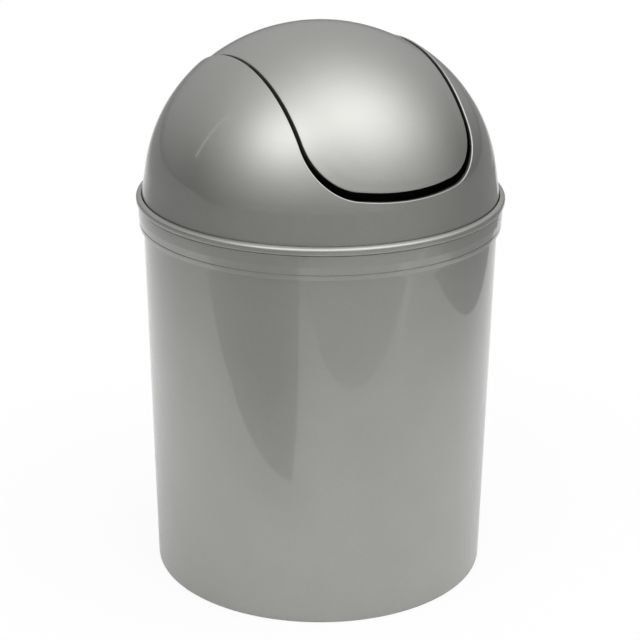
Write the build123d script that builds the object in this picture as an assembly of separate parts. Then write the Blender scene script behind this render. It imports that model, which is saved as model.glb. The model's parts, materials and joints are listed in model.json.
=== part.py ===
"""Countertop trash can: a round tapered can, a drop-in dome cover and a flap that swings in the dome.

Millimetres. The origin is the middle of the foot and +Z is up. The flap swings about X, so its
two ends face the front (-Y) and the back (+Y). Each of the three pieces is one plastic moulding.
"""

import os
from math import asin, cos, degrees, radians, sqrt, tan

from build123d import *

# ---- can ----
wall = 1.6                  # moulded wall of the can and of the cover
base_radius = 84.5          # outside of the wall at the foot
neck_radius = 88.45         # outside of the wall just under the collar
neck_height = 182.3         # where the wall steps out into the collar
collar_height = 16.5        # from there up to the top of the rim bead
collar_step = 2.0           # how far the collar stands out from the neck
collar_draft = 0.4          # how much wider the collar is at its top
bead_projection = 1.1       # how far the rim bead stands out from the collar
bead_height = 3.9           # height of the rim bead
rim_outer_share = 0.65      # share of the rim's width that its outer round takes
rim_inner_share = 0.25      # share of the rim's width that its inner round takes
bead_low_round = 0.4        # round under the bead
lip_height = 2.3            # rounded lip along the collar's lower edge
lip_bulge = 0.45            # how far the lip stands out from the collar
neck_round = 0.7            # round in the corner under the collar
foot_round = 1.4            # round where the wall meets the foot
foot_ring_width = 5.5       # flat ring that the can stands on
floor_lift = 2.6            # how far the floor is raised off the table
ring_round = 0.9            # round between the foot ring and the floor's underside
floor_round = 6.0           # inside round between wall and floor
gate_radius = 5.0           # moulding gate: a shallow dimple in the middle, under the floor
gate_depth = 0.6

# ---- dome cover ----
cover_clearance = 0.3       # radial gap between the dome's foot and the top of the collar's bore
skirt_clearance = 0.4       # radial gap at the skirt's foot, which centres the cover
dome_foot_rise = 0.5        # from the rim up to the dome's foot, where the skirt begins
dome_lift = 2.2             # from the rim up to the middle of the dome's ellipsoid
flare_rise = 12.0           # from that middle up to where the dome runs on straight down to its foot
dome_flattening = 6.45      # how much less the dome rises than the radius of its foot

# ---- window in the dome, seen from the front ----
sill_height = 15.5          # lowest point of the window above the middle of the ellipsoid
sill_bow = 5.5              # how much the sill's middle hangs below its corners
window_half_width = 45.3    # at the sill, before its corners are rounded
window_taper = 1.8          # degrees that each side leans out
window_corner = 23.0        # radius of the lower corners
window_edge = 0.5           # round on the window's outer edge

# ---- flap ----
side_gap = 1.8              # between flap and window along the sides
end_gap = 3.8               # between flap and sill at the front and back
flap_recess = 1.2           # how far the flap lies under the dome's surface
flap_wall = 1.6
flap_edge = 0.5             # round on the flap's outer edge
lip_wall = 1.6              # turned-in lip all round the flap
side_lip_depth = 4.0        # lip below the outer face at the crown
end_lip_depth = 6.0         # lip behind the outer face at both ends

# ---- pivot: pins moulded on the flap, pushed up into keyhole clips under the dome ----
pin_radius = 2.0
pin_clearance = 0.06        # radial, in the clip's seat
pin_overhang = 0.8          # how far a pin comes out of its clip on the far side
pin_chamfer = 0.4
ear_radius = 4.8            # round ear on the flap's side lip, which carries the pin
ear_thickness = 2.4
shoulder_radius = 3.2       # shoulder at the pin's root, which keeps the flap centred
end_float = 0.3             # side play of the flap between its clips
clip_setback = 0.2          # from the window's widest place to the clip's near face
clip_thickness = 2.2
seat_roof = 1.0             # between the clip's seat and the dome's inner face
clip_half_width = 5.4
clip_drop = 6.6             # clip below the pivot axis
throat_width = 3.3          # narrower than the pin, which snaps through it
throat_mouth = 6.6          # width of the throat's flared mouth
mouth_depth = 2.6
gusset_thickness = 1.4      # two ribs that brace each clip against the dome
gusset_reach = 6.0

# ---- worked out from the above ----
collar_radius = neck_radius + collar_step
collar_top_radius = collar_radius + collar_draft
ledge_height = neck_height + wall
rim_height = neck_height + collar_height
spring_height = rim_height + dome_lift
dome_foot_radius = collar_top_radius - wall - cover_clearance
dome_foot_height = rim_height + dome_foot_rise
skirt_foot_radius = collar_radius - wall - skirt_clearance
dome_rise = dome_foot_radius - dome_flattening
dome_top = spring_height + dome_rise
sill = spring_height + sill_height
# the dome's radius, such that its tangent at the flare meets the dome's foot
flare_sink = (dome_foot_height - spring_height) * flare_rise / dome_rise ** 2
dome_radius = dome_foot_radius * sqrt(1 - (flare_rise / dome_rise) ** 2) / (1 - flare_sink)
flap_radius = dome_radius - flap_recess
flap_rise = dome_rise - flap_recess
lean = tan(radians(window_taper))
beyond = 2 * dome_top               # longer than anything here, for cuts


def face_height(distance, depth=0.0):
    """Height of the dome's outer face at a distance from the middle, or of a face under it."""
    share = distance / (dome_radius - depth)
    return spring_height + (dome_rise - depth) * sqrt(1 - share ** 2)


def window_side(height):
    """Half width of the window between its leaning sides, at a height."""
    return window_half_width + (height - sill - sill_bow) * lean


def flap_side(height):
    """Half width of the flap between its leaning sides, at a height."""
    return window_side(height - end_gap + side_gap) - side_gap / cos(radians(window_taper))


clip_near = window_side(face_height(window_half_width)) + clip_setback
clip_far = clip_near + clip_thickness
seat_radius = pin_radius + pin_clearance
pivot_height = face_height(clip_far, wall) - seat_roof - seat_radius


def rounded_profile(corners, rounds):
    """Closed XZ profile through the named corners, rounded where rounds names one."""
    face = make_face(Polyline(*corners.values(), close=True))
    for name, radius in rounds.items():
        corner = Vector(*corners[name])
        face = fillet(face.vertices().sort_by_distance(corner)[0], radius)
    return face


def turned(profile):
    """The solid made by turning an XZ profile about Z."""
    return revolve(Plane.XZ * profile, Axis.Z)


def ellipsoid(radius, rise):
    """Solid ellipsoid of the dome's form about its middle, with its poles on X."""
    ball = Rotation(0, 90, 0) * Sphere(1)
    return Pos(0, 0, spring_height) * scale(ball, by=(radius, radius, rise))


def through(face):
    """A front outline pushed through the dome from front to back."""
    return extrude(Plane.XZ * face, beyond, both=True)


def collar_lip():
    """XZ section of the rounded lip along the collar's lower edge."""
    root = collar_radius - wall / 2
    lip_top = neck_height + lip_height
    outline = Curve() + [
        ThreePointArc(
            (collar_radius, neck_height),
            (collar_radius + lip_bulge, neck_height + lip_height / 2),
            (collar_radius, lip_top),
        ),
        Line((collar_radius, lip_top), (root, lip_top)),
        Line((root, lip_top), (root, neck_height)),
        Line((root, neck_height), (collar_radius, neck_height)),
    ]
    return make_face(outline)


def can_body():
    """Tapered wall on a foot ring, raised floor, stepped collar and a round rim bead."""
    bead_radius = collar_top_radius + bead_projection
    bead_foot = rim_height - bead_height
    rim_width = wall + bead_projection
    ring_inner = base_radius - foot_ring_width
    floor_top = floor_lift + wall
    wall_draft = (neck_radius - base_radius) / neck_height
    corners = {
        "foot": (base_radius, 0),
        "neck": (neck_radius, neck_height),
        "collar": (collar_radius, neck_height),
        "bead foot": (collar_top_radius, bead_foot),
        "bead low": (bead_radius, bead_foot),
        "bead top": (bead_radius, rim_height),
        "bore top": (collar_top_radius - wall, rim_height),
        "ledge outer": (collar_radius - wall, ledge_height),
        "ledge inner": (neck_radius - wall, ledge_height),
        "floor edge": (base_radius + wall_draft * floor_top - wall, floor_top),
        "floor middle": (0, floor_top),
        "gate middle": (0, floor_lift + gate_depth),
        "gate top": (gate_radius, floor_lift + gate_depth),
        "gate edge": (gate_radius, floor_lift),
        "ring root": (ring_inner, floor_lift),
        "ring foot": (ring_inner, 0),
    }
    rounds = {
        "foot": foot_round,
        "neck": neck_round,
        "bead low": bead_low_round,
        "bead top": rim_width * rim_outer_share,
        "bore top": rim_width * rim_inner_share,
        "floor edge": floor_round,
        "ring root": ring_round,
    }
    return turned(rounded_profile(corners, rounds)) + turned(collar_lip())


def window_face():
    """The window seen from the front: bowed sill, round lower corners and leaning sides."""
    top = dome_top + window_corner
    corner = sill + sill_bow
    spread = window_half_width + (top - corner) * lean
    outline = Curve() + [
        ThreePointArc((-window_half_width, corner), (0, sill), (window_half_width, corner)),
        Line((window_half_width, corner), (spread, top)),
        Line((spread, top), (-spread, top)),
        Line((-spread, top), (-window_half_width, corner)),
    ]
    face = make_face(outline)
    return fillet(face.vertices().sort_by(Axis.Y)[:2], window_corner)


def flap_face(inset=0.0):
    """The window's outline drawn in by the side gap and lifted off the sill."""
    inner = offset(window_face(), -side_gap - inset)
    return Pos(0, end_gap - side_gap) * inner


def across(radius, start, end):
    """Cylinder on the pivot axis, from one distance from the middle to another."""
    return Plane.YZ.offset(start) * Pos(0, pivot_height) * extrude(Circle(radius), end - start)


def both_sides(solid):
    """A right hand detail and its mirror image on the left."""
    return [solid, mirror(solid, Plane.YZ)]


def keyhole():
    """Side view of the clip's seat, its narrow throat and its flared mouth."""
    seat = Pos(0, pivot_height) * Circle(seat_radius)
    bottom = pivot_height - clip_drop
    half_throat = throat_width / 2
    half_mouth = throat_mouth / 2
    throat = make_face(Polyline(
        (-half_throat, pivot_height),
        (half_throat, pivot_height),
        (half_throat, bottom + mouth_depth),
        (half_mouth, bottom),
        (-half_mouth, bottom),
        (-half_throat, bottom + mouth_depth),
        close=True,
    ))
    return seat + throat


def clip():
    """Right hand clip: a keyhole plate that hangs under the dome, braced by two gussets."""
    bottom = pivot_height - clip_drop
    plate_face = Pos(0, (bottom + dome_top) / 2) * Rectangle(2 * clip_half_width, dome_top - bottom)
    plate = extrude(Plane.YZ.offset(clip_near) * (plate_face - keyhole()), clip_thickness)
    root = clip_far - clip_thickness / 2
    gusset_face = make_face(Polyline(
        (root, bottom + mouth_depth),
        (clip_far, bottom + mouth_depth),
        (clip_far + gusset_reach, pivot_height),
        (clip_far + gusset_reach, dome_top),
        (root, dome_top),
        close=True,
    ))
    gusset = extrude(Plane.XZ.offset(clip_half_width - gusset_thickness) * gusset_face, gusset_thickness)
    return plate + gusset + mirror(gusset, Plane.XZ)


def dome_arc(depth=0.0):
    """Section of the dome's outer face, or of a face under it, from the flare up to the crown."""
    rise = dome_rise - depth
    start = degrees(asin(flare_rise / rise))
    return EllipticalCenterArc(
        (0, spring_height), dome_radius - depth, rise, start_angle=start, arc_size=90 - start
    )


def dome_wall():
    """Dome and skirt before the window is cut: an ellipsoid cap that flares straight to its foot."""
    outer = dome_arc()
    inner = dome_arc(wall)
    outline = Curve() + [
        outer,
        Line(outer @ 0, (dome_foot_radius, dome_foot_height)),
        Line((dome_foot_radius, dome_foot_height), (skirt_foot_radius, ledge_height)),
        Line((skirt_foot_radius, ledge_height), (skirt_foot_radius - wall, ledge_height)),
        Line((skirt_foot_radius - wall, ledge_height), (dome_foot_radius - wall, dome_foot_height)),
        Line((dome_foot_radius - wall, dome_foot_height), inner @ 0),
        inner,
        Line(inner @ 1, outer @ 1),
    ]
    return turned(make_face(outline))


def rounded_rim(shell, radius):
    """Rounds the outer edge of an outline that was cut through a dome."""
    outer_face = shell.faces().sort_by(SortBy.AREA)[-1]
    return fillet(outer_face.edges().filter_by(GeomType.BSPLINE), radius)


def dome_cover():
    """Dome with a drop-in skirt, the window cut through from front to back, and two clips."""
    cover = rounded_rim(dome_wall() - through(window_face()), window_edge)
    inside = ellipsoid(dome_radius - wall / 2, dome_rise - wall / 2)
    for side in both_sides(clip() & inside):
        cover += side
    return cover


def flap_arch():
    """Thin arch that follows the dome just under its surface, with a lip turned in all round."""
    arch = ellipsoid(flap_radius, flap_rise) & through(flap_face())
    outer = rounded_rim(arch, flap_edge)
    hollow = ellipsoid(flap_radius - flap_wall, flap_rise - flap_wall)
    lip_hollow = ellipsoid(flap_radius - end_lip_depth, flap_rise - side_lip_depth)
    return outer - (hollow & through(flap_face(inset=lip_wall))) - lip_hollow


def pivot_end():
    """Right hand ear with its shoulder and its pin."""
    side = flap_side(pivot_height)
    ear = across(ear_radius, side - ear_thickness, side + ear_thickness) & through(flap_face())
    shoulder = across(shoulder_radius, side - ear_thickness / 2, clip_near - end_float)
    pin = across(pin_radius, side - ear_thickness / 2, clip_far + pin_overhang)
    pin = chamfer(pin.edges().sort_by(Axis.X)[-1], pin_chamfer)
    return ear + shoulder + pin


def swing_flap():
    """Arched flap with a pivot end on each side."""
    flap = flap_arch()
    for side in both_sides(pivot_end()):
        flap += side
    return flap


os.makedirs("parts", exist_ok=True)
pieces = {
    "can_body": can_body(),
    "dome_cover": dome_cover(),
    "swing_flap": swing_flap(),
}
for name, piece in pieces.items():
    export_step(piece, f"parts/{name}.step")
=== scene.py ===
import json
from math import cos, pi, radians, sin

import bpy
from mathutils import Matrix, Vector

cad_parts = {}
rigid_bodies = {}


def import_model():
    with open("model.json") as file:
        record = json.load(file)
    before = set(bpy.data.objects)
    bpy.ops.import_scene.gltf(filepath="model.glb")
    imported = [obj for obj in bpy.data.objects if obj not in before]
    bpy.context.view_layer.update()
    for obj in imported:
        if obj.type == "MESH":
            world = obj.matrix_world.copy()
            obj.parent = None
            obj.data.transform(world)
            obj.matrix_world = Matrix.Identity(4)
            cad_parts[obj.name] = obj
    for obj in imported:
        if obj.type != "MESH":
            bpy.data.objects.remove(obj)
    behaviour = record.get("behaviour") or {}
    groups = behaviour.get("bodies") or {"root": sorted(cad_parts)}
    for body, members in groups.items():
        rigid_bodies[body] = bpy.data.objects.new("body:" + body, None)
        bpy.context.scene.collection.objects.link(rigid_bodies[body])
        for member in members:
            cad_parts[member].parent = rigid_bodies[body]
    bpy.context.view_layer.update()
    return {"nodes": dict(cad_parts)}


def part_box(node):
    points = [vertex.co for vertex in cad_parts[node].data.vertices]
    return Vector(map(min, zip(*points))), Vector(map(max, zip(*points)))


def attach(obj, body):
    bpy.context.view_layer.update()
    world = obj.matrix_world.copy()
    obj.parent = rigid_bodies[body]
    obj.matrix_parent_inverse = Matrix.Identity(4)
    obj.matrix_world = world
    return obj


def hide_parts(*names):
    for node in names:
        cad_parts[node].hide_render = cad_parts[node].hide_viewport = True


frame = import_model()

mm = 0.001
plainWhite = (1, 1, 1, 1)


def linearColour(hexValue):
    # an sRGB hex value as linear RGBA
    channels = [int(hexValue[i:i + 2], 16) / 255 for i in (1, 3, 5)]
    return [c / 12.92 if c <= 0.04045 else ((c + 0.055) / 1.055) ** 2.4 for c in channels] + [1.0]


def addNode(tree, kind, inputs=None, **settings):
    # one node with its settings; an input is a value or the output socket that feeds it
    node = tree.nodes.new(kind)
    for name, value in settings.items():
        setattr(node, name, value)
    for key, value in (inputs or {}).items():
        if isinstance(value, bpy.types.NodeSocket):
            tree.links.new(value, node.inputs[key])
        else:
            node.inputs[key].default_value = value
    return node


def newMaterial(name):
    material = bpy.data.materials.new(name)
    material.use_nodes = True
    tree = material.node_tree
    tree.nodes.clear()
    return material, tree


def newObject(name, mesh):
    obj = bpy.data.objects.new(name, mesh)
    bpy.context.scene.collection.objects.link(obj)
    return obj


# The distance and the target are in metres; the angles are degrees about the can.
cameraValues = {
    "azimuth": -29.8,
    "elevation": 20.874,
    "roll": 0.341,
    "distance": 1.0514,
    "targetHeight": 0.1285,
    "targetAside": 0.0001,
    "focalPixels": 2056.3,
    "framePixels": 640,
    "sensorMm": 36.0,
    "clipEnd": 50.0,
}


def makeCamera(v):
    azimuth = radians(v["azimuth"])
    elevation = radians(v["elevation"])
    away = Vector((sin(azimuth) * cos(elevation), -cos(azimuth) * cos(elevation), sin(elevation)))
    side = Vector((cos(azimuth), sin(azimuth), 0))
    target = Vector((0, 0, v["targetHeight"])) + side * v["targetAside"]
    data = bpy.data.cameras.new("camera")
    data.sensor_width = v["sensorMm"]
    data.lens = v["focalPixels"] / v["framePixels"] * v["sensorMm"]
    data.clip_end = v["clipEnd"]
    camera = newObject("camera", data)
    turn = away.to_track_quat("Z", "Y").to_matrix().to_4x4()
    roll = Matrix.Rotation(radians(v["roll"]), 4, "Z")
    camera.matrix_world = Matrix.Translation(target + away * v["distance"]) @ turn @ roll
    bpy.context.scene.camera = camera


makeCamera(cameraValues)
print("camera set")


# Sizes are in millimetres and angles in degrees. The rim's radius and height come from the frame.
canValues = {
    "wall": 1.6,
    "baseRadius": 84.5,
    "footRound": 1.4,
    "footRing": 5.5,  # width of the ring that the can stands on
    "footRingRound": 0.9,
    "floorLift": 2.6,
    "floorRound": 6.0,
    "gateRadius": 5.0,  # the dimple round the moulding's gate
    "gateDepth": 0.6,
    "neckRadius": 88.45,
    "neckHeight": 182.3,
    "neckRound": 0.1,
    "collarRadius": 90.45,
    "collarTopRadius": 90.85,
    "lipStep": 0.12,  # how far the collar's lip stands out
    "lipRound": 0.3,
    "lipTop": 184.5,
    "lipGroove": 0.45,
    "lipGrooveDepth": 0.35,
    "wallBreak": 188.6,  # where the collar turns upright
    "wallBreakStep": 0.02,
    "wallBreakRound": 2.0,
    "creaseHeight": 1.0,
    "creaseDepth": 0.45,
    "creaseRound": 0.2,
    "creaseFlat": 0.6,  # share of the crease that is upright
    "beadHeight": 4.0,
    "beadLowRound": 0.5,
    "crownRound": 1.6,
    "crownDrop": 0.4,
    "crownSlope": 0.2,
    "boreRound": 0.3,
    "segments": 192,
    "roundSteps": 8,
    "rowStep": 3.0,
    "weld": 0.01,
    "creaseAngle": 34.0,  # edges sharper than this stay sharp in the shading
}


def canProfile(v):
    # corners of the section, up the outside and down the inside: radius, height and round
    low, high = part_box("can_body")
    rimRadius, rimHeight = high.x / mm, high.z / mm
    rimWidth = rimRadius - v["collarTopRadius"] + v["wall"]
    beadFoot = rimHeight - v["beadHeight"]
    crownHeight = rimHeight - v["crownDrop"]
    lipRadius = v["collarRadius"] + v["lipStep"]
    grooveRadius = lipRadius - v["lipGrooveDepth"]
    grooveTop = v["lipTop"] + v["lipGroove"]
    creaseRadius = v["collarTopRadius"] - v["creaseDepth"]
    gateTop = v["floorLift"] + v["gateDepth"]
    floorTop = v["floorLift"] + v["wall"]
    ledgeTop = v["neckHeight"] + v["wall"]
    ringInner = v["baseRadius"] - v["footRing"]
    draft = (v["neckRadius"] - v["baseRadius"]) / v["neckHeight"]
    return [
        (0, gateTop, 0),
        (v["gateRadius"], gateTop, 0),
        (v["gateRadius"], v["floorLift"], 0),
        (ringInner, v["floorLift"], v["footRingRound"]),
        (ringInner, 0, 0),
        (v["baseRadius"], 0, v["footRound"]),
        (v["neckRadius"], v["neckHeight"], v["neckRound"]),
        (v["collarRadius"], v["neckHeight"], v["lipRound"]),
        (lipRadius, v["lipTop"], 0),
        (grooveRadius, v["lipTop"], 0),
        (grooveRadius, grooveTop, 0),
        (lipRadius, grooveTop, 0),
        (v["collarTopRadius"] - v["wallBreakStep"], v["wallBreak"], v["wallBreakRound"]),
        (v["collarTopRadius"], beadFoot - v["creaseHeight"], v["creaseRound"]),
        (creaseRadius, beadFoot - v["creaseHeight"] * v["creaseFlat"], 0),
        (creaseRadius, beadFoot, 0),
        (rimRadius, beadFoot, v["beadLowRound"]),
        (rimRadius, crownHeight - rimWidth * v["crownSlope"], v["crownRound"]),
        (v["collarTopRadius"] - v["wall"], crownHeight, v["boreRound"]),
        (v["collarRadius"] - v["wall"], ledgeTop, 0),
        (v["neckRadius"] - v["wall"], ledgeTop, 0),
        (v["baseRadius"] + draft * floorTop - v["wall"], floorTop, v["floorRound"]),
        (0, floorTop, 0),
    ]


def profileMesh(name, corners):
    # an edge chain in the XZ plane, with each corner's round in an attribute
    mesh = bpy.data.meshes.new(name)
    points = [(radius * mm, 0, height * mm) for radius, height, bend in corners]
    mesh.from_pydata(points, [(i, i + 1) for i in range(len(points) - 1)], [])
    rounds = mesh.attributes.new("round", "FLOAT", "POINT")
    rounds.data.foreach_set("value", [bend * mm for radius, height, bend in corners])
    return mesh


def turnedTree(name, material):
    # Geometry Nodes: rounds an XZ profile's corners, then turns it about Z
    tree = bpy.data.node_groups.new(name, "GeometryNodeTree")
    tree.interface.new_socket("Geometry", in_out="OUTPUT", socket_type="NodeSocketGeometry")
    for label, kind in (
        ("Geometry", "Geometry"),
        ("Segments", "Int"),
        ("Round Steps", "Int"),
        ("Row Step", "Float"),
        ("Weld Distance", "Float"),
        ("Crease Angle", "Float"),
    ):
        tree.interface.new_socket(label, in_out="INPUT", socket_type="NodeSocket" + kind)
    given = addNode(tree, "NodeGroupInput").outputs

    chain = addNode(tree, "GeometryNodeMeshToCurve", {0: given["Geometry"]}).outputs[0]
    rounds = addNode(tree, "GeometryNodeInputNamedAttribute", {"Name": "round"}, data_type="FLOAT")
    rounded = addNode(tree, "GeometryNodeFilletCurve", {
        "Curve": chain,
        "Count": given["Round Steps"],
        "Radius": rounds.outputs["Attribute"],
        "Limit Radius": True,
    }, mode="POLY").outputs[0]

    # rows along the straight stretches, so that the shading stays even beside a round
    here = addNode(tree, "GeometryNodeInputPosition").outputs[0]
    index = addNode(tree, "GeometryNodeInputIndex").outputs[0]
    nextIndex = addNode(tree, "ShaderNodeMath", {0: index, 1: 1.0}, operation="ADD").outputs[0]
    following = addNode(tree, "GeometryNodeSampleIndex", {
        "Geometry": rounded,
        "Value": here,
        "Index": nextIndex,
    }, data_type="FLOAT_VECTOR", domain="POINT", clamp=True).outputs[0]
    run = addNode(tree, "ShaderNodeVectorMath", {0: here, 1: following}, operation="DISTANCE").outputs[1]
    cuts = addNode(tree, "ShaderNodeMath", {0: run, 1: given["Row Step"]}, operation="DIVIDE").outputs[0]
    profile = addNode(tree, "GeometryNodeSubdivideCurve", {0: rounded, 1: cuts}).outputs[0]

    # a grid whose columns are angles and whose rows are the profile's points
    counts = addNode(tree, "GeometryNodeAttributeDomainSize", {0: profile}, component="CURVE").outputs
    rows = counts["Point Count"]
    columns = addNode(tree, "ShaderNodeMath", {0: given["Segments"], 1: 1.0}, operation="ADD").outputs[0]
    grid = addNode(tree, "GeometryNodeMeshGrid", {
        "Size X": 1.0,
        "Size Y": 1.0,
        "Vertices X": columns,
        "Vertices Y": rows,
    }).outputs["Mesh"]
    column = addNode(tree, "ShaderNodeMath", {0: index, 1: rows}, operation="DIVIDE").outputs[0]
    column = addNode(tree, "ShaderNodeMath", {0: column}, operation="FLOOR").outputs[0]
    row = addNode(tree, "ShaderNodeMath", {0: index, 1: rows}, operation="MODULO").outputs[0]
    point = addNode(tree, "GeometryNodeSampleIndex", {
        "Geometry": profile,
        "Value": here,
        "Index": row,
    }, data_type="FLOAT_VECTOR", domain="POINT").outputs[0]
    turn = addNode(tree, "ShaderNodeMath", {0: column, 1: given["Segments"]}, operation="DIVIDE").outputs[0]
    angle = addNode(tree, "ShaderNodeMath", {0: turn, 1: 2 * pi}, operation="MULTIPLY").outputs[0]
    placed = addNode(tree, "ShaderNodeVectorRotate", {
        "Vector": point,
        "Angle": angle,
    }, rotation_type="Z_AXIS").outputs[0]
    turned = addNode(tree, "GeometryNodeSetPosition", {"Geometry": grid, "Position": placed}).outputs[0]
    closed = addNode(tree, "GeometryNodeMergeByDistance", {
        "Geometry": turned,
        "Distance": given["Weld Distance"],
    }).outputs[0]

    # smooth faces, and edges that are smooth where they bend little
    bend = addNode(tree, "GeometryNodeInputMeshEdgeAngle").outputs["Unsigned Angle"]
    soft = addNode(tree, "FunctionNodeCompare", {
        0: bend,
        1: given["Crease Angle"],
    }, data_type="FLOAT", operation="LESS_THAN").outputs[0]
    faces = addNode(tree, "GeometryNodeSetShadeSmooth", {0: closed, 2: True}, domain="FACE").outputs[0]
    edges = addNode(tree, "GeometryNodeSetShadeSmooth", {0: faces, 2: soft}, domain="EDGE").outputs[0]
    real = addNode(tree, "GeometryNodeRealizeInstances", {0: edges}).outputs[0]
    done = addNode(tree, "GeometryNodeSetMaterial", {"Geometry": real, "Material": material}).outputs[0]
    addNode(tree, "NodeGroupOutput", {0: done})
    return tree


def runTree(obj, tree, values):
    # sets the named inputs, keeps the result as a plain mesh and removes the modifier
    modifier = obj.modifiers.new(tree.name, "NODES")
    modifier.node_group = tree
    for item in tree.interface.items_tree:
        if item.in_out == "INPUT" and item.name in values:
            modifier[item.identifier] = values[item.name]
    graph = bpy.context.evaluated_depsgraph_get()
    mesh = bpy.data.meshes.new_from_object(obj.evaluated_get(graph))
    obj.modifiers.remove(modifier)
    # the tree's material comes second, after an empty slot, so it is put back alone
    setMaterial = [found for found in mesh.materials if found][0]
    mesh.materials.clear()
    mesh.materials.append(setMaterial)
    mesh.polygons.foreach_set("material_index", [0] * len(mesh.polygons))
    mesh.name = obj.name
    obj.data = mesh


# Silver polypropylene: clear resin full of aluminium flakes, moulded in a polished tool.
# The flakes give a soft metallic grey; the skin over them gives a faint sharp reflection.
silverValues = {
    "light": "#a2a29e",
    "dark": "#999995",
    "metallic": 0.9,
    "roughness": 0.41,
    "roughnessSpread": 0.05,
    "skinWeight": 1.0,
    "skinRoughness": 0.035,
    "skinIor": 1.78,
    "flakeMm": 0.5,  # real flakes are a tenth of this, too fine to show
    "flakeShare": 0.5,  # weight of the flakes against the clouds
    "cloudMm": 30.0,  # slow drift of the pigment where the melt flowed
    "cloudDetail": 3.0,
    "toneLow": 0.3,
    "toneHigh": 1.2,
    "peelMm": 14.0,  # the faint waves of a moulded skin
    "peelDepthMm": 0.004,
    "peelDetail": 1.0,
}


def silverPlastic(name, v):
    material, tree = newMaterial(name)
    place = addNode(tree, "ShaderNodeTexCoord").outputs["Object"]
    flakes = addNode(tree, "ShaderNodeTexVoronoi", {
        "Vector": place,
        "Scale": 1 / (v["flakeMm"] * mm),
    }).outputs["Color"]
    grain = addNode(tree, "ShaderNodeSeparateColor", {0: flakes}).outputs[0]
    clouds = addNode(tree, "ShaderNodeTexNoise", {
        "Vector": place,
        "Scale": 1 / (v["cloudMm"] * mm),
        "Detail": v["cloudDetail"],
    }).outputs[0]
    tone = addNode(tree, "ShaderNodeMath", {
        0: grain,
        1: v["flakeShare"],
        2: clouds,
    }, operation="MULTIPLY_ADD").outputs[0]
    blend = addNode(tree, "ShaderNodeMapRange", {
        "Value": tone,
        "From Min": v["toneLow"],
        "From Max": v["toneHigh"],
    }).outputs[0]
    # sockets 6 and 7 are the node's two colours, and output 2 is their mix
    colour = addNode(tree, "ShaderNodeMix", {
        "Factor": blend,
        6: linearColour(v["dark"]),
        7: linearColour(v["light"]),
    }, data_type="RGBA").outputs[2]
    rough = addNode(tree, "ShaderNodeMapRange", {
        "Value": grain,
        "To Min": v["roughness"] - v["roughnessSpread"],
        "To Max": v["roughness"] + v["roughnessSpread"],
    }).outputs[0]
    peel = addNode(tree, "ShaderNodeTexNoise", {
        "Vector": place,
        "Scale": 1 / (v["peelMm"] * mm),
        "Detail": v["peelDetail"],
    }).outputs[0]
    skin = addNode(tree, "ShaderNodeBump", {"Height": peel, "Distance": v["peelDepthMm"] * mm}).outputs[0]
    plastic = addNode(tree, "ShaderNodeBsdfPrincipled", {
        "Base Color": colour,
        "Metallic": v["metallic"],
        "Roughness": rough,
        "Coat Weight": v["skinWeight"],
        "Coat Roughness": v["skinRoughness"],
        "Coat IOR": v["skinIor"],
        "Coat Normal": skin,
    })
    addNode(tree, "ShaderNodeOutputMaterial", {"Surface": plastic.outputs[0]})
    return material


canPlastic = silverPlastic("silverPlasticGloss", silverValues)
coverPlastic = silverPlastic("silverPlasticCover", silverValues)
flapPlastic = silverPlastic("silverPlasticFlap", silverValues)
print("silver plastic mixed")

canBody = newObject("turned_can", profileMesh("turned_can", canProfile(canValues)))
runTree(canBody, turnedTree("turned can", canPlastic), {
    "Segments": canValues["segments"],
    "Round Steps": canValues["roundSteps"],
    "Row Step": canValues["rowStep"] * mm,
    "Weld Distance": canValues["weld"] * mm,
    "Crease Angle": radians(canValues["creaseAngle"]),
})
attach(canBody, "can")
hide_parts("can_body")
print("can body:", len(canBody.data.polygons), "faces")

for node, plastic in (("dome_cover", coverPlastic), ("swing_flap", flapPlastic)):
    frame["nodes"][node].material_slots[0].material = plastic
print("cover and flap finished")


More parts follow.
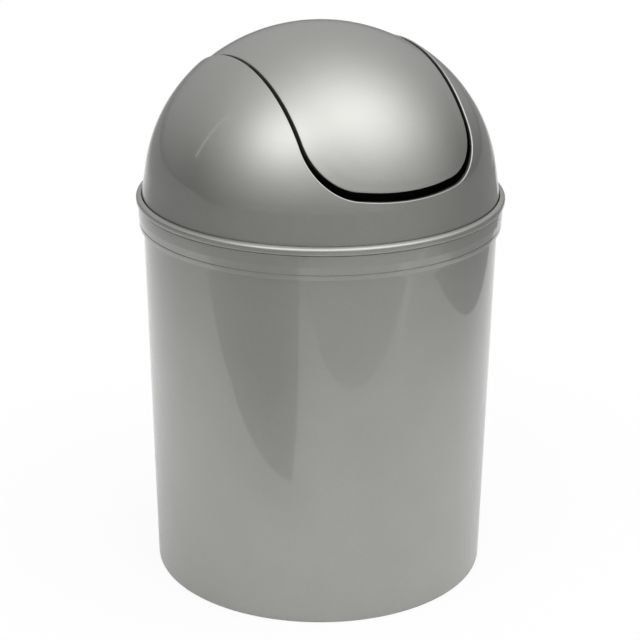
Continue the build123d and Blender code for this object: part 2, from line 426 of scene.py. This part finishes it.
# Lengths are in metres, but for the cards. Directions are seen from the can, in degrees:
# azimuth 0 is toward the camera and grows to its right.
studioValues = {
    "floorSize": 12.0,
    "floorPaint": 0.8,
    "floorShade": 0.1,  # how much of the can's shadow the camera sees on the white
    "tableRadius": 0.54,
    "tableStretch": 3.0,  # how much further the white runs behind the can
    "tableFeather": 0.34,
    "tablePaint": 0.74,
    "roomFloor": 0.32,  # the room's floor round the table, as a share of its paint
    "horizon": 0.2,
    "zenith": 0.76,
    "rise": 0.5,  # below 1 the room gets light quickly above the horizon
    "softboxes": [
        {"azimuth": -35.0, "elevation": 48.5, "spread": 15.0, "strength": 1.96},
        {"azimuth": 53.1, "elevation": 61.9, "spread": 21.9, "strength": 2.0},
    ],
    # darker directions at the sides
    "flags": [
        {"azimuth": -88.0, "elevation": 4.0, "spread": 18.0, "depth": 0.55},
        {"azimuth": 115.0, "elevation": 4.0, "spread": 18.0, "depth": 0.55},
    ],
    # glowing flat cards that only reflections see, painted reflections of darker and lighter things
    # round the table; their corners are millimetres to the right, away from the camera and up,
    # and a card that lies on the table is lifted off it by cardLift
    "cardLift": 1.0,
    "cards": {
        "leftCard": {"grey": 0.42, "corners": [
            (-59, -222, 0), (-272, -209, 0), (-493, -167, 0), (-900, -100, 0), (-900, -900, 0),
            (-170, -900, 0), (-104, -485, 0), (-68, -308, 0),
        ]},
        "frontCard": {"grey": 0.56, "corners": [
            (-53, -482, 0), (12, -398, 0), (54, -364, 0), (104, -338, 0), (161, -317, 0),
            (237, -313, 0), (800, -313, 0), (800, -1200, 0), (-140, -1200, 0),
        ]},
        "sideCard": {"grey": 0.9, "corners": [
            (283, -257, 0), (376, -278, 0), (800, -285, 0), (800, -312, 0), (318, -312, 0),
        ]},
        "rightCard": {"grey": 0.3, "corners": [
            (498, -158, 0), (478, -90, 0), (453, -13, 0), (416, 89, 0), (393, 179, 0),
            (382, 260, 0), (379, 372, 0), (379, 900, 0), (1200, 900, 0), (1200, -158, 0),
        ]},
        "leftStrip": {"grey": 0.95, "corners": [
            (-1500, 30, 600), (-1500, 90, 600), (-1500, 110, 1700), (-1500, 10, 1700),
        ]},
    },
}


def studioDirection(azimuth, elevation):
    around = radians(azimuth + cameraValues["azimuth"])
    up = radians(elevation)
    return Vector((sin(around) * cos(up), -cos(around) * cos(up), sin(up)))


def studioFloor(v):
    # a matt white table top: pale, with no gloss of its own, and the can's shadow on it
    half = v["floorSize"] / 2
    corners = [(-half, -half, 0), (half, -half, 0), (half, half, 0), (-half, half, 0)]
    mesh = bpy.data.meshes.new("floor")
    mesh.from_pydata(corners, [], [(0, 1, 2, 3)])
    floor = newObject("floor", mesh)
    material, tree = newMaterial("whiteTable")
    place = addNode(tree, "ShaderNodeTexCoord").outputs["Object"]
    # in reflections the white is a disc that runs on as a sweep away from the camera
    away = studioDirection(180, 0)
    depth = addNode(tree, "ShaderNodeVectorMath", {0: place, 1: away}, operation="DOT_PRODUCT").outputs[1]
    behind = addNode(tree, "ShaderNodeMath", {0: depth, 1: 0.0}, operation="MAXIMUM").outputs[0]
    pull = addNode(tree, "ShaderNodeVectorMath", {
        0: away * (1 - 1 / v["tableStretch"]),
        "Scale": behind,
    }, operation="SCALE").outputs[0]
    reach = addNode(tree, "ShaderNodeVectorMath", {0: place, 1: pull}, operation="DISTANCE").outputs[1]
    table = addNode(tree, "ShaderNodeMapRange", {
        "Value": reach,
        "From Min": v["tableRadius"] - v["tableFeather"],
        "From Max": v["tableRadius"] + v["tableFeather"],
        "To Min": v["tablePaint"],
        "To Max": v["tablePaint"] * v["roomFloor"],
    }, interpolation_type="SMOOTHSTEP").outputs[0]
    rays = addNode(tree, "ShaderNodeLightPath").outputs
    paint = (v["floorPaint"], v["floorPaint"], v["floorPaint"], 1)
    matt = addNode(tree, "ShaderNodeBsdfDiffuse", {"Color": paint}).outputs[0]
    white = addNode(tree, "ShaderNodeEmission", {"Color": plainWhite, "Strength": 1.0}).outputs[0]
    seen = addNode(tree, "ShaderNodeMixShader", {0: v["floorShade"], 1: white, 2: matt}).outputs[0]
    mirrored = addNode(tree, "ShaderNodeBsdfDiffuse", {"Color": table}).outputs[0]
    reflected = addNode(tree, "ShaderNodeMath", {
        0: rays["Is Glossy Ray"],
        1: rays["Is Transmission Ray"],
    }, operation="MAXIMUM").outputs[0]
    other = addNode(tree, "ShaderNodeMixShader", {0: reflected, 1: matt, 2: mirrored}).outputs[0]
    mixed = addNode(tree, "ShaderNodeMixShader", {0: rays["Is Camera Ray"], 1: other, 2: seen}).outputs[0]
    addNode(tree, "ShaderNodeOutputMaterial", {"Surface": mixed})
    mesh.materials.append(material)


def studioCard(name, card, lift):
    turn = Matrix.Rotation(radians(cameraValues["azimuth"]), 3, "Z")
    corners = [turn @ Vector((x * mm, y * mm, max(z, lift) * mm)) for x, y, z in card["corners"]]
    mesh = bpy.data.meshes.new(name)
    mesh.from_pydata([list(corner) for corner in corners], [], [list(range(len(corners)))])
    material, tree = newMaterial(name)
    # the card glows at its grey: a painted reflection that nothing but reflections sees, not a lamp
    glow = addNode(tree, "ShaderNodeEmission", {"Color": plainWhite, "Strength": card["grey"]}).outputs[0]
    addNode(tree, "ShaderNodeOutputMaterial", {"Surface": glow})
    mesh.materials.append(material)
    board = newObject(name, mesh)
    board.visible_camera = False
    board.visible_diffuse = False
    board.visible_shadow = False
    board.visible_transmission = False


def studioLobe(tree, toward, v):
    # 1 along a direction, fading with the angle from it
    aim = studioDirection(v["azimuth"], v["elevation"])
    sharpness = 1 / radians(v["spread"]) ** 2
    facing = addNode(tree, "ShaderNodeVectorMath", {0: toward, 1: aim}, operation="DOT_PRODUCT").outputs[1]
    power = addNode(tree, "ShaderNodeMath", {
        0: facing,
        1: sharpness,
        2: -sharpness,
    }, operation="MULTIPLY_ADD").outputs[0]
    return addNode(tree, "ShaderNodeMath", {0: power}, operation="EXPONENT").outputs[0]


def studioWorld(v):
    # a pale room with feathered softboxes; the camera itself sees plain white
    world = bpy.data.worlds.new("studio")
    world.use_nodes = True
    tree = world.node_tree
    tree.nodes.clear()
    toward = addNode(tree, "ShaderNodeTexCoord").outputs["Generated"]
    height = addNode(tree, "ShaderNodeSeparateXYZ", {0: toward}).outputs["Z"]
    above = addNode(tree, "ShaderNodeMath", {0: height, 1: 0.0}, operation="MAXIMUM").outputs[0]
    climb = addNode(tree, "ShaderNodeMath", {0: above, 1: v["rise"]}, operation="POWER").outputs[0]
    glow = addNode(tree, "ShaderNodeMapRange", {
        "Value": climb,
        "To Min": v["horizon"],
        "To Max": v["zenith"],
    }).outputs[0]
    for box in v["softboxes"]:
        glow = addNode(tree, "ShaderNodeMath", {
            0: studioLobe(tree, toward, box),
            1: box["strength"],
            2: glow,
        }, operation="MULTIPLY_ADD").outputs[0]
    for flag in v["flags"]:
        shade = addNode(tree, "ShaderNodeMath", {
            0: studioLobe(tree, toward, flag),
            1: -flag["depth"],
            2: 1.0,
        }, operation="MULTIPLY_ADD").outputs[0]
        glow = addNode(tree, "ShaderNodeMath", {0: glow, 1: shade}, operation="MULTIPLY").outputs[0]
    rays = addNode(tree, "ShaderNodeLightPath").outputs
    room = addNode(tree, "ShaderNodeBackground", {"Color": plainWhite, "Strength": glow}).outputs[0]
    white = addNode(tree, "ShaderNodeBackground", {"Color": plainWhite, "Strength": 1.0}).outputs[0]
    mixed = addNode(tree, "ShaderNodeMixShader", {0: rays["Is Camera Ray"], 1: room, 2: white}).outputs[0]
    addNode(tree, "ShaderNodeOutputWorld", {"Surface": mixed})
    bpy.context.scene.world = world


studioFloor(studioValues)
for name, card in studioValues["cards"].items():
    studioCard(name, card, studioValues["cardLift"])
studioWorld(studioValues)
bpy.context.scene.view_settings.view_transform = "Standard"
print("studio set")
